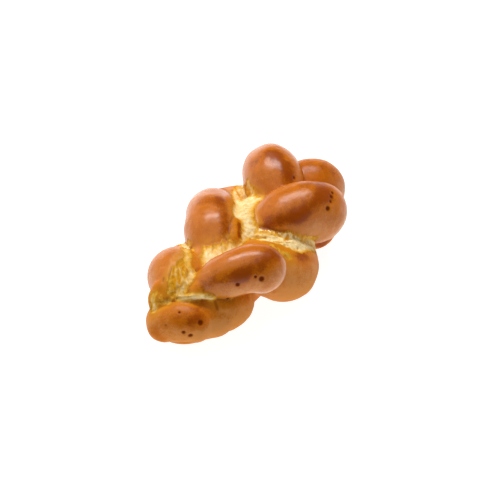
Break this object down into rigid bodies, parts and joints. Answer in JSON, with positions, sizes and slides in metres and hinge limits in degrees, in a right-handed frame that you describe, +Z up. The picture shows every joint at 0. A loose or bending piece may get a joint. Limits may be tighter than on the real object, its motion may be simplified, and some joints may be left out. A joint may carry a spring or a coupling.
{
  "type": "braided loaf",
  "caption": "Small three-strand plaited sweet bread loaf, glossy browned lobes over a torn pale crumb, flat underneath, a food item to set on a table or board.",
  "frame": {"origin": "middle of the loaf's plan box, on the flat baked base", "axes": "+X along the loaf away from its near tip, +Z up, +Y to the side of the left-hand bends"},
  "size_m": [0.2146, 0.112, 0.0657],
  "materials": {
    "crust": null
  },
  "bodies": {
    "root": {"loaf": "crust"}
  },
  "joints": []
}
